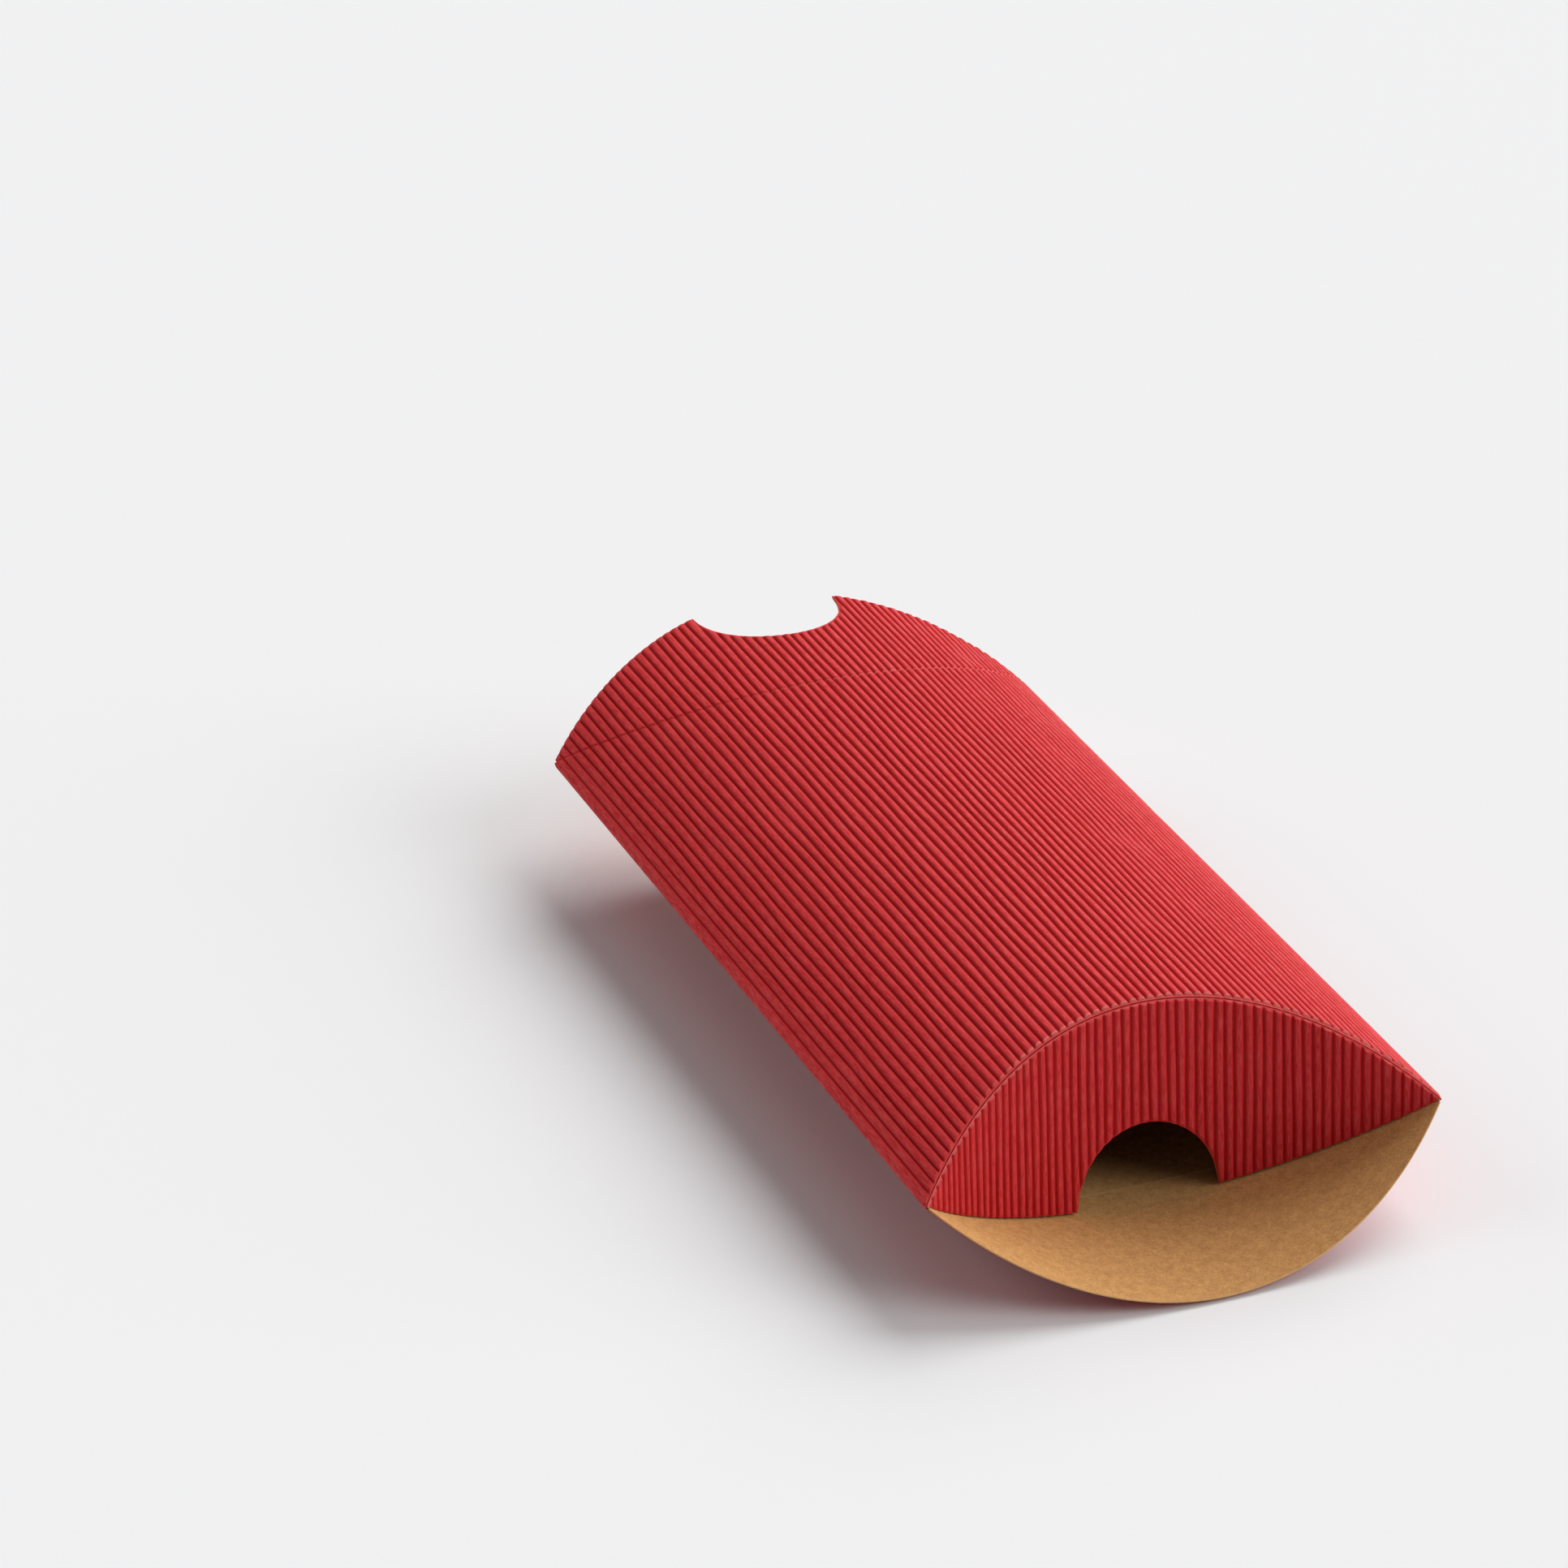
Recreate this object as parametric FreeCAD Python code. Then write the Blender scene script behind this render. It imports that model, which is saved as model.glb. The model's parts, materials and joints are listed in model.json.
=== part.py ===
"""Pillow box of single-faced corrugated board: a glued tube with four curved end flaps.

The board is two plies glued together, a smooth liner inside and a fluted medium outside.  Each panel and
each flap is bounded by curved creases, so every ply is one node per panel and per flap.  The flap folded
first at each end is shut, and the flap folded over it stands open.

Frame: X across the box, Y along it with the front end at -Y, Z up, millimetres.  The origin is on the
surface that the box lies on, under its middle.
"""
import FreeCAD
import Part
import math
import os

from FreeCAD import Vector

# The box: both panels are circular arches over the plane of the two side folds
box_width = 125.0
side_length = 209.0
panel_rise = 23.5

# The end flaps: how deep the crease bows into the panel, and how far an open flap stands past the corners
inner_crease_depth = 25.3
nest_clearance = 0.25
flap_reach = 21.75
closed_lean_degrees = 5.9

# Thumb notches in the two upper flaps
front_notch_radius = 17.3
rear_notch_radius = 18.6

# The board: flute height is from the liner's face to the top of a ridge
liner_thickness = 0.3
medium_thickness = 0.2
flute_height = 0.8
flute_pitch = 2.24
glue_film = 0.04
ridge_width_share = 0.6

# The side seam: a tab of board glued inside the lower panel, with its strip of glue
tab_width = 15.0
tab_fold_gap = 0.3
tab_end_clearance = 2.0
glue_strip_thickness = 0.12
glue_strip_margin = 1.5

# Slack at the creases and at a folded free edge, the cut tips of a flap, and the overrun of every cut
open_crease_gap = 0.3
folded_crease_gap = 1.1
folded_edge_gap = 0.7
flap_tip_cut = 2.2
cut_overrun = 5.0

board_thickness = liner_thickness + flute_height
outer_crease_depth = inner_crease_depth - board_thickness - nest_clearance
mid_height = panel_rise + flute_height
closed_lean = math.radians(closed_lean_degrees)


def arch_radius(rise):
    """Radius of a circular arch over the box's width."""
    return (box_width ** 2 / 4 + rise ** 2) / (2 * rise)


def arch_length(rise):
    """Length of a circular arch from one side fold to the other."""
    return 2 * arch_radius(rise) * math.asin(box_width / 2 / arch_radius(rise))


flute_count = round(arch_length(panel_rise) / flute_pitch)


class Arch:
    """Circular arch over the box's width, the outer face of a liner at one section.

    Every arch has the panel's own number of flutes, so that they run on across the creases.
    """

    def __init__(self, rise):
        self.rise = rise
        self.radius = arch_radius(rise)
        self.half_length = arch_length(rise) / 2
        self.pitch = 2 * self.half_length / flute_count

    def point(self, along, out):
        """Point of the section, along the arch from its crown and out from its face."""
        angle = along / self.radius
        reach = self.radius + out
        return Vector(reach * math.sin(angle), 0, reach * math.cos(angle) - (self.radius - self.rise))

    def height_share(self, x):
        """Height of the arch at x, as a share of its rise."""
        return (math.sqrt(self.radius ** 2 - x ** 2) - (self.radius - self.rise)) / self.rise


panel_arch = Arch(panel_rise)


def arc(arch, stations):
    """Edge through three stations, each a length along the arch and a height out from it."""
    return Part.Arc(*[arch.point(along, out) for along, out in stations]).toShape()


def band(arch, start, end, low, high):
    """Section of a plain ply between two lengths along the arch and two heights."""
    middle = (start + end) / 2
    upper = arc(arch, [(start, high), (middle, high), (end, high)])
    lower = arc(arch, [(start, low), (middle, low), (end, low)])
    caps = [Part.makeLine(arch.point(at, low), arch.point(at, high)) for at in (start, end)]
    return closed_face([upper, lower] + caps)


def wave(arch, centres, low, high):
    """Edges of one face of the fluted ply: a ridge over each centre and a valley between two."""
    half_ridge = arch.pitch * ridge_width_share / 2
    half_pitch = arch.pitch / 2
    middle = (low + high) / 2
    edges = []
    for number, centre in enumerate(centres):
        if number:
            valley = centre - half_pitch
            previous = centre - arch.pitch + half_ridge
            edges.append(arc(arch, [(previous, middle), (valley, low), (centre - half_ridge, middle)]))
        edges.append(arc(arch, [(centre - half_ridge, middle), (centre, high), (centre + half_ridge, middle)]))
    return edges


def flutes(arch, centres, base, side):
    """Section of the fluted ply over a liner's face at base, with side 1 outside it and -1 inside."""
    half_ridge = arch.pitch * ridge_width_share / 2
    ends = (centres[0] - half_ridge, centres[-1] + half_ridge)
    faces = []
    levels = []
    for lift in (0, medium_thickness):
        low = base + side * (glue_film + lift)
        high = base + side * (flute_height - medium_thickness + lift)
        faces += wave(arch, centres, low, high)
        levels.append((low + high) / 2)
    caps = [Part.makeLine(arch.point(at, levels[0]), arch.point(at, levels[1])) for at in ends]
    return closed_face(faces + caps)


def closed_face(edges):
    """Plane face inside the edges, which are joined end to end."""
    return Part.Face(Part.Wire(Part.__sortEdges__(edges)))


def flute_centres(arch, first, last):
    """Places of the ridges along the arch, between two lengths counted from its crown."""
    places = [(number - (flute_count - 1) / 2) * arch.pitch for number in range(-1, flute_count + 1)]
    return [place for place in places if first <= place <= last]


def board(arch, side, run):
    """Liner and fluted ply over the whole arch, drawn out along the run vector about the section."""
    half_span = arch.half_length + arch.pitch
    liner = band(arch, -half_span, half_span, 0, -side * liner_thickness)
    medium = flutes(arch, flute_centres(arch, -half_span, half_span), 0, side)
    return [draw_out(section, run) for section in (liner, medium)]


def draw_out(section, run):
    """Solid drawn out both ways from a section."""
    back = section.copy()
    back.translate(run * -1)
    return back.extrude(run * 2)


def side_cutter(points):
    """Prism across the box from points given as (y, z)."""
    half = box_width / 2 + cut_overrun
    ring = [Vector(-half, y, z) for y, z in points]
    return Part.Face(Part.makePolygon(ring + ring[:1])).extrude(Vector(2 * half, 0, 0))


def largest(shape):
    """The one solid of a cut ply, without crumbs that a cut leaves at its corners."""
    return max(shape.Solids, key=lambda solid: solid.Volume)


def panel(front_depth, rear_depth):
    """Plies of the upper panel between its two creases, over the plane of the side folds."""
    top = mid_height + cut_overrun
    corner = side_length / 2 - open_crease_gap / 2
    front = (-corner + front_depth * top / panel_rise, top)
    rear = (corner - rear_depth * top / panel_rise, top)
    cutter = side_cutter([(-corner, 0), (corner, 0), rear, front])
    return [largest(ply.common(cutter)) for ply in board(panel_arch, 1, Vector(0, side_length, 0))]


def flap(depth, lean, folded, notch_radius):
    """Plies of an upper flap, with the corners of its end at y = 0 and Y pointing out of the box.

    An open flap runs straight on from the panel.  A folded one is built leaning and turned inside out,
    then mirrored in the plane of its crease.
    """
    length = depth + flap_reach
    edge_y = -depth + length * math.cos(lean)
    edge_z = panel_rise - length * math.sin(lean)
    arch = Arch(panel_rise - depth * math.tan(lean))
    run = Vector(0, math.cos(lean), -math.sin(lean)) * side_length
    plies = board(arch, -1 if folded else 1, run)

    start = folded_crease_gap if folded else open_crease_gap / 2
    trim = folded_edge_gap if folded else 0
    crease_slope = -depth / panel_rise
    edge_slope = edge_y / edge_z
    tip = (start + trim) / (edge_slope - crease_slope) + flap_tip_cut
    top = mid_height + cut_overrun
    cutter = side_cutter([(crease_slope * tip + start, tip), (edge_slope * tip - trim, tip),
                          (edge_slope * top - trim, top), (crease_slope * top + start, top)])
    plies = [largest(ply.common(cutter)) for ply in plies]

    if notch_radius:
        centre_y = edge_y * panel_arch.height_share(notch_radius)
        hole = Part.makeCylinder(notch_radius, 2 * top, Vector(0, centre_y, -top))
        plies = [largest(ply.cut(hole)) for ply in plies]
    if folded:
        normal = Vector(0, panel_rise, depth)
        plies = [ply.mirror(Vector(0, 0, 0), normal) for ply in plies]
    return plies


def glue_tab():
    """Liner, fluted ply and glue strip of the tab, seated in the lower panel's inner face."""
    arch = panel_arch
    outer = arch.half_length
    inner = outer - tab_width
    strip_face = -liner_thickness - glue_film
    base = strip_face - glue_strip_thickness - glue_film - flute_height
    liner = band(arch, inner, outer, base, base - liner_thickness)
    medium = flutes(arch, flute_centres(arch, inner + arch.pitch / 2, outer - arch.pitch / 2), base, 1)
    strip = band(arch, inner + glue_strip_margin, outer - glue_strip_margin,
                 strip_face, strip_face - glue_strip_thickness)

    inner_x = arch.point(inner, 0).x
    end_gap = inner_crease_depth * arch.height_share(inner_x) + board_thickness + tab_end_clearance
    half = side_length / 2 - end_gap
    top = mid_height + cut_overrun
    cutter = side_cutter([(-half, tab_fold_gap), (half, tab_fold_gap), (half, top), (-half, top)])
    tab = [draw_out(section, Vector(0, side_length, 0)).common(cutter) for section in (liner, medium)]
    glue_half = half - glue_strip_margin
    glue = draw_out(strip, Vector(0, glue_half, 0)).common(cutter)
    return [largest(ply) for ply in tab + [glue]]


def lower(shapes):
    """The same pieces under the plane of the side folds."""
    return [shape.mirror(Vector(0, 0, 0), Vector(0, 0, 1)) for shape in shapes]


def at_rear(shapes):
    """Flap pieces moved to the rear end."""
    return [shape.translated(Vector(0, side_length / 2, 0)) for shape in shapes]


def at_front(shapes):
    """Flap pieces moved to the front end."""
    turned = [shape.mirror(Vector(0, 0, 0), Vector(0, 1, 0)) for shape in shapes]
    return [shape.translated(Vector(0, -side_length / 2, 0)) for shape in turned]


def nodes():
    """Every node's name and shape, on the plane of the side folds."""
    plies = {
        "top_panel": panel(inner_crease_depth, outer_crease_depth),
        "bottom_panel": lower(panel(outer_crease_depth, inner_crease_depth)),
        "front_upper_flap": at_front(flap(inner_crease_depth, closed_lean, True, front_notch_radius)),
        "front_lower_flap": at_front(lower(flap(outer_crease_depth, 0, False, 0))),
        "rear_upper_flap": at_rear(flap(outer_crease_depth, 0, False, rear_notch_radius)),
        "rear_lower_flap": at_rear(lower(flap(inner_crease_depth, closed_lean, True, 0))),
    }
    shapes = {}
    for name, (liner, medium) in plies.items():
        shapes[name + "_liner"] = liner
        shapes[name + "_flutes"] = medium
    tab_liner, tab_flutes, glue = lower(glue_tab())
    shapes.update(glue_tab_liner=tab_liner, glue_tab_flutes=tab_flutes, seam_glue_strip=glue)
    return shapes


def middle_of_length(shapes):
    """Y of the middle between the outermost edges of the open flaps."""
    boxes = [shape.optimalBoundingBox() for shape in shapes]
    return (min(box.YMin for box in boxes) + max(box.YMax for box in boxes)) / 2


def print_hinge_lines(centre):
    """Print where each flap turns: the line across the box through the crown of its crease."""
    for depth in (inner_crease_depth, outer_crease_depth):
        turn = math.degrees(2 * math.atan(panel_rise / depth))
        for end in (-1, 1):
            y = end * (side_length / 2 - depth) - centre
            print("hinge y", round(y, 4), "z", round(mid_height - panel_rise, 4), "and",
                  round(mid_height + panel_rise, 4), "full turn", round(turn, 3))


def main():
    os.makedirs("parts", exist_ok=True)
    shapes = nodes()
    centre = middle_of_length(shapes.values())
    for name, shape in shapes.items():
        shape.translate(Vector(0, -centre, mid_height))
        shape.exportStep(os.path.join("parts", name + ".step"))
        print(name, "solids", len(shape.Solids), "volume", round(shape.Volume, 1), "valid", shape.isValid())
    print_hinge_lines(centre)


main()
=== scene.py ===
"""Pillow box of red single-faced corrugated board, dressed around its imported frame.

The box is one blank of board in two plies, a smooth kraft liner inside and a red fluted paper outside.
Each ply of each panel and flap starts as a flat grid, is laid out to its outline, curved to the arch and
given its thickness.  Lengths are metres: X runs across the box, Y along it from the front end, and Z up.
"""
from __future__ import annotations

import json
import logging
import math
from collections.abc import Callable
from dataclasses import dataclass, replace
from enum import Enum
from functools import cached_property

import bpy
import numpy as np
from mathutils import Matrix, Vector


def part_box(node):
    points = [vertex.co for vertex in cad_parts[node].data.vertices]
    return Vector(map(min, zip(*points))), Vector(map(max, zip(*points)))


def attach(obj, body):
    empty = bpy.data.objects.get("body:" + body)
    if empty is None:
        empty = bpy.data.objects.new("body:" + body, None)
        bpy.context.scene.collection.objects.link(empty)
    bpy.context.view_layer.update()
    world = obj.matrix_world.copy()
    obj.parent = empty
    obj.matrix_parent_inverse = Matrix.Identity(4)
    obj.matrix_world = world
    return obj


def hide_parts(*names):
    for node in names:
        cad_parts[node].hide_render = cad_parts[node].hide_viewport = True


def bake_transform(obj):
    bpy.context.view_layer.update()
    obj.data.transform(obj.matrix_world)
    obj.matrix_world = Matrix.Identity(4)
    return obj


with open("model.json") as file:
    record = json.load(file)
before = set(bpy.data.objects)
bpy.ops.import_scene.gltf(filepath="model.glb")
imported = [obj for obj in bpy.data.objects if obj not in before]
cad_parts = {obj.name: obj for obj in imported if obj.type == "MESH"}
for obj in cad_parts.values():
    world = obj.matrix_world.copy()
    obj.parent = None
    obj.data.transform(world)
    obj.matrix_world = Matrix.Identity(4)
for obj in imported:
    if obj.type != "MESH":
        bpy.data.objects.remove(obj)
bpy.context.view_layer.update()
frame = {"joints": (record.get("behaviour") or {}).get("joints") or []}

LOG = logging.getLogger("pillow_box")
MM = 0.001
PHOTO_PIXELS = 1932
SMOOTH_ANGLE = math.radians(35)
ROW_GROWTH = 3.0
FRONT_NOTCH = 17.3 * MM
REAR_NOTCH = 18.6 * MM
SLANTED_CUT = 0.7 * MM

Array = np.ndarray
Piece = bpy.types.Object
Socket = bpy.types.NodeSocket


class Layer(Enum):
    """Panel of the tube that a piece belongs to, as the side of the side folds that it lies on."""

    UPPER = 1
    LOWER = -1


class End(Enum):
    """End of the box that a flap closes, as the direction it points along Y."""

    FRONT = -1
    REAR = 1


class Slot(Enum):
    """Material slots of the record."""

    FLUTES = "red_flutes"
    LINER = "kraft_liner"
    GLUE = "dried_glue"


class Ply(Enum):
    """Plies of the board, as the end of the name of a solid and of the piece that stands for it."""

    FLUTES = ("_flutes", "_fluted_paper", Slot.FLUTES)
    LINER = ("_liner", "_kraft", Slot.LINER)

    def node(self, part: str) -> str:
        """Name of the solid of this ply."""
        return part + self.value[0]

    def piece(self, part: str) -> str:
        """Name of the piece of this ply."""
        return part + self.value[1]

    @property
    def slot(self) -> Slot:
        """The record's slot that this ply takes its finish from."""
        return self.value[2]


class Trace(Enum):
    """Values kept on the points of a ply for its finish to read."""

    BLANK = "blank"
    # Mask of the painted shade in the valleys and at the bottoms of the scored grooves.
    HOLLOW = "hollow"
    # Pale marks: scuffed caps and paler scores, with painted highlights on the caps, the crease rims and the
    # free edges.
    WORN = "worn"


Dress = dict[Slot, bpy.types.Material]


def smooth_step(share: Array) -> Array:
    """Ease from 0 to 1 as a share passes from 0 to 1."""
    held = np.clip(share, 0, 1)
    return held * held * (3 - 2 * held)


def bump(offset: Array, width: float) -> Array:
    """Bell of height 1 about zero, of a given width."""
    return np.exp(-((offset / width) ** 2))


def graded_rows(even: int, close: int, near_share: float, far_share: float) -> Array:
    """Shares from 0 to 1 that are even in the middle and draw closer towards both ends.

    Args:
        even: How many even steps there are.
        close: How many close steps each end has.
        near_share: Share of the run that the close steps at its start take.
        far_share: Share of the run that the close steps at its end take.

    Returns:
        The shares, both ends included.
    """
    end = np.expm1(ROW_GROWTH * np.linspace(0, 1, close + 1))[:-1] / math.expm1(ROW_GROWTH)
    middle = np.linspace(near_share, 1 - far_share, even + 1)
    return np.concatenate([near_share * end, middle, 1 - far_share * end[::-1]])


@dataclass(frozen=True)
class Board:
    """Thicknesses of the board's plies and of its glue, and the spacing of the flutes."""

    flute_height: float
    liner: float = 0.30 * MM
    medium: float = 0.20 * MM
    film: float = 0.04 * MM
    glue: float = 0.12 * MM
    pitch: float = 2.24 * MM

    @classmethod
    def from_frame(cls) -> Board:
        """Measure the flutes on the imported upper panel."""
        return cls(flute_height=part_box("top_panel_flutes")[1].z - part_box("top_panel_liner")[1].z)

    def thickness(self, ply: Ply) -> float:
        """Thickness of a ply."""
        return self.medium if ply is Ply.FLUTES else self.liner

    def outer_face(self, relief: Array) -> Array:
        """Height of the fluted paper's outer face over the liner, from shares of the flute's height."""
        valley = self.film + self.medium
        return valley + (self.flute_height - valley) * relief


@dataclass(frozen=True)
class Tube:
    """Main sizes of the glued tube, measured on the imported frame."""

    half_width: float
    half_side: float
    rise: float
    flap_reach: float
    middle_y: float
    middle_z: float

    CREASE_GAP = 0.15 * MM

    @classmethod
    def from_frame(cls) -> Tube:
        """Measure the upper panel's liner and the open front flap.

        Returns:
            The tube's sizes.
        """
        low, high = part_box("top_panel_liner")
        middle_y = (low.y + high.y) / 2
        half_side = (high.y - low.y) / 2 + cls.CREASE_GAP
        return cls(
            half_width=(high.x - low.x) / 2,
            half_side=half_side,
            rise=high.z - low.z,
            flap_reach=middle_y - half_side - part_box("front_lower_flap_liner")[0].y,
            middle_y=middle_y,
            middle_z=low.z,
        )

    def crease_depth(self, joint: dict) -> float:
        """How far a crease bows in from the corners, from the joint at its crown."""
        return self.half_side - abs(joint["pos_m"][1] - self.middle_y)


@dataclass(frozen=True)
class Arch:
    """Section of a panel's reference face: a circular arch whose two side folds are rounded."""

    half_width: float
    rise: float
    fold_radius: float = 0.6 * MM

    @cached_property
    def radius(self) -> float:
        """Radius of the arch."""
        return (self.half_width ** 2 + self.rise ** 2) / (2 * self.rise)

    @cached_property
    def drop(self) -> float:
        """Depth of the arch's centre under the plane of the side folds."""
        return self.radius - self.rise

    @cached_property
    def fold_angle(self) -> float:
        """Angle from the crown at which the side fold's rounding starts."""
        return math.acos(self.drop / (self.radius - self.fold_radius))

    @cached_property
    def fold_start(self) -> float:
        """Length from the crown at which the side fold's rounding starts."""
        return self.radius * self.fold_angle

    @cached_property
    def fold_centre(self) -> float:
        """Distance of the rounding's centre from the middle of the box."""
        return (self.radius - self.fold_radius) * math.sin(self.fold_angle)

    @cached_property
    def half_length(self) -> float:
        """Length from the crown to the side fold."""
        return self.fold_start + self.fold_radius * (math.pi / 2 - self.fold_angle)

    def place(self, along: Array, out: Array | float) -> tuple[Array, Array]:
        """Find points of the section.

        Args:
            along: Lengths along the arch from its crown.
            out: Heights out from its face.

        Returns:
            The points' X, and their height over the side folds.
        """
        length = np.abs(along)
        folded = length > self.fold_start
        angle = np.where(folded, self.fold_angle + (length - self.fold_start) / self.fold_radius,
                         length / self.radius)
        reach = np.where(folded, self.fold_radius, self.radius) + out
        x = np.where(folded, self.fold_centre, 0) + reach * np.sin(angle)
        return np.sign(along) * x, np.where(folded, 0, -self.drop) + reach * np.cos(angle)

    def unroll(self, x: Array, z: Array) -> tuple[Array, Array]:
        """Find where points lie on the section, the reverse of place.

        Args:
            x: The points' X.
            z: The points' height over the side folds.

        Returns:
            Lengths along the arch, and heights out from it.
        """
        side = np.abs(x)
        angle = np.arctan2(side, z + self.drop)
        turned = np.arctan2(side - self.fold_centre, z)
        folded = angle > self.fold_angle
        length = np.where(folded, self.fold_start + self.fold_radius * (turned - self.fold_angle),
                          self.radius * angle)
        out = np.where(folded, np.hypot(side - self.fold_centre, z) - self.fold_radius,
                       np.hypot(x, z + self.drop) - self.radius)
        return np.sign(x) * length, out


@dataclass(frozen=True)
class Press:
    """How far the flutes are pressed flat along one side of a crease or a cut, and the pale marks there.

    The ends of the ridges get pale caps between two lengths along the arch, partly scuffed paper and partly
    painted highlight, and the edge of the groove gets a thin painted highlight rim where the paper bends
    round.
    """

    flat: float
    ramp: float
    pressed_share: float
    lip_share: float = 0.0
    cap_at: float = 0.0
    cap_share: float = 0.0
    bare_end: float = 0.0
    worn_end: float = 1.0
    rim_highlight_share: float = 0.0
    bead: float = 0.0

    LIP_WIDTH = 0.30 * MM
    CAP_WIDTH = 0.17 * MM
    RIM_AT = 0.26 * MM
    RIM_WIDTH = 0.11 * MM
    BEAD_WIDTH = 0.38 * MM
    GROOVE_WIDTH = 0.15 * MM
    SCORE_WIDTH = 0.25 * MM
    FULL_BEAD = 0.20 * MM

    def height_share(self, gap: Array, spread: Array) -> Array:
        """Share of the flute's height that is left.

        Args:
            gap: Distances from the line along the flute.
            spread: How much wider or narrower each flute is pressed.

        Returns:
            The shares, over 1 on the lip.
        """
        pressed = 1 - smooth_step((gap / spread - self.flat) / self.ramp)
        lip = bump(gap / spread - self.flat - self.ramp, self.LIP_WIDTH)
        return 1 - self.pressed_share * pressed + self.lip_share * lip

    def worn(self, along: Array, gap: Array, spread: Array, ridge: Array) -> Array:
        """How pale the ridge ends and the groove's rim are: partly scuffed paper, partly painted highlight.

        Args:
            along: Lengths along the arch from its crown.
            gap: Distances from the line along the flute.
            spread: How much wider or narrower each flute is pressed.
            ridge: Shape of the flutes, 1 on a ridge.

        Returns:
            The paleness, from 0 to 1.
        """
        reached = smooth_step((along - self.bare_end) / (self.worn_end - self.bare_end))
        # Caps on the ridge ends: partly scuffed paper, partly painted highlight.
        cap = self.cap_share * reached * ridge * bump(gap / spread - self.cap_at, self.CAP_WIDTH)
        # Rim along the fold: a painted highlight where the paper bends round.
        return cap + self.rim_highlight_share * bump(gap - self.RIM_AT, self.RIM_WIDTH)

    def dip(self, gap: Array) -> Array:
        """How far the scoring rule sinks the board, which raises a bead inside."""
        return self.bead * bump(gap, self.BEAD_WIDTH)

    def groove(self, gap: Array) -> Array:
        """How strong the painted shade at the bottom of the scored groove is."""
        return self.bead / self.FULL_BEAD * bump(gap, self.GROOVE_WIDTH)

    def score(self, gap: Array) -> Array:
        """How much paler the kraft is along the line."""
        return bump(gap, self.SCORE_WIDTH)


FOLDED_PANEL_CREASE = Press(flat=0.36 * MM, ramp=0.50 * MM, pressed_share=0.97, lip_share=0.08,
                            cap_at=0.72 * MM, cap_share=0.95, bare_end=-52 * MM, worn_end=-22 * MM,
                            rim_highlight_share=0.35, bead=0.20 * MM)
FOLDED_FLAP_CREASE = Press(flat=0.28 * MM, ramp=0.42 * MM, pressed_share=0.90,
                           cap_at=0.46 * MM, cap_share=0.40, bare_end=-22 * MM, worn_end=-46 * MM,
                           rim_highlight_share=0.45, bead=0.20 * MM)
OPEN_CREASE = Press(flat=0.05 * MM, ramp=0.55 * MM, pressed_share=0.40, lip_share=0.04,
                    cap_at=0.12 * MM, cap_share=0.45, bare_end=-50 * MM, worn_end=20 * MM, bead=0.04 * MM)
CUT_EDGE = Press(flat=0.05 * MM, ramp=0.60 * MM, pressed_share=0.45)
FLATTENED_EDGE = Press(flat=0.10 * MM, ramp=0.9 * MM, pressed_share=0.70)
CRUSHED_EDGE = Press(flat=0.9 * MM, ramp=2.4 * MM, pressed_share=0.94)


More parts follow.
